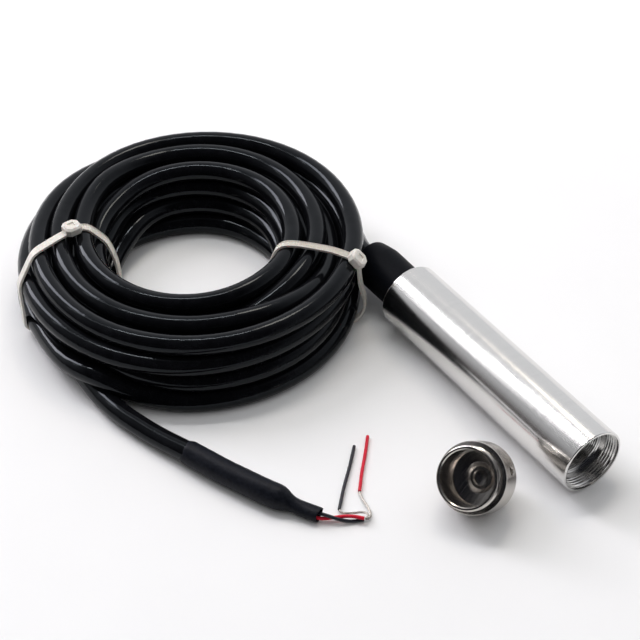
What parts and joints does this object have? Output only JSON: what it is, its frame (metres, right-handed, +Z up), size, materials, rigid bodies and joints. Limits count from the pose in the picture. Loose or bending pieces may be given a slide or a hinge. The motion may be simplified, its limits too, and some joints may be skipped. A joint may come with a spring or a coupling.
{
  "type": "submersible level transmitter",
  "caption": "Steel submersible level probe with an open threaded mouth, its nose cap beside it, a rubber cable boot, and a vented cable coiled under two ties and ending in stripped leads.",
  "frame": {"origin": "on the floor, in the middle of the box round the probe and its nose cap, without the cable", "axes": "+X along the probe, out of its open mouth; +Y to the probe's side away from the nose cap; +Z up"},
  "size_m": [0.2428, 0.1494, 0.0332],
  "materials": {
    "stainless_steel": "fine turned, bright",
    "diaphragm_foil": "bright foil",
    "nickel_plated_brass": "nickel plated",
    "gold_plated_pins": "gold plated",
    "seal_rubber": "matte",
    "boot_rubber": "matte",
    "board_laminate": "solder mask",
    "chip_epoxy": "matte",
    "trimmer_blue": "moulded",
    "capacitor_can": "bright can",
    "jumper_film": "enamelled fine wires",
    "holder_nylon": "moulded",
    "insulating_film": "smooth film",
    "cable_jacket": "glossy",
    "shrink_sleeve": "matte",
    "red_insulation": "smooth",
    "black_insulation": "smooth",
    "vent_tube_plastic": "milky",
    "tinned_copper": "tinned fine strands",
    "tie_nylon": "natural nylon"
  },
  "bodies": {
    "root": {"probe_housing": "stainless_steel", "sensor_body": "stainless_steel", "sensor_diaphragm": "diaphragm_foil", "diaphragm_weld_ring": "stainless_steel", "sensor_o_ring": "seal_rubber", "sensor_pin_1": "gold_plated_pins", "sensor_pin_2": "gold_plated_pins", "sensor_pin_3": "gold_plated_pins", "sensor_pin_4": "gold_plated_pins", "sensor_pin_5": "gold_plated_pins", "sensor_retaining_ring": "stainless_steel", "insulating_sleeve": "insulating_film", "front_board_holder": "holder_nylon", "rear_board_holder": "holder_nylon", "circuit_board": "board_laminate", "amplifier_chip": "chip_epoxy", "output_transistor": "chip_epoxy", "protection_diode": "chip_epoxy", "zero_trimmer": "trimmer_blue", "span_trimmer": "trimmer_blue", "filter_capacitor": "capacitor_can", "sensor_jumper": "jumper_film", "vent_tube": "vent_tube_plastic", "inner_red_lead": "red_insulation", "inner_black_lead": "black_insulation", "gland_body": "nickel_plated_brass", "gland_washer_front": "stainless_steel", "gland_grommet": "seal_rubber", "gland_washer_rear": "stainless_steel", "gland_nut": "nickel_plated_brass", "rubber_boot": "boot_rubber", "nose_cap": "stainless_steel", "cable_in_gland": "cable_jacket", "cable_coil": "cable_jacket", "tie_left": "tie_nylon", "tie_right": "tie_nylon", "cable_lead_in": "cable_jacket", "cable_tail": "cable_jacket", "end_sleeve": "shrink_sleeve", "red_wire": "red_insulation", "black_wire": "black_insulation", "black_strands": "tinned_copper", "red_strands": "tinned_copper", "black_tip": "black_insulation", "red_tip": "red_insulation"}
  },
  "joints": []
}
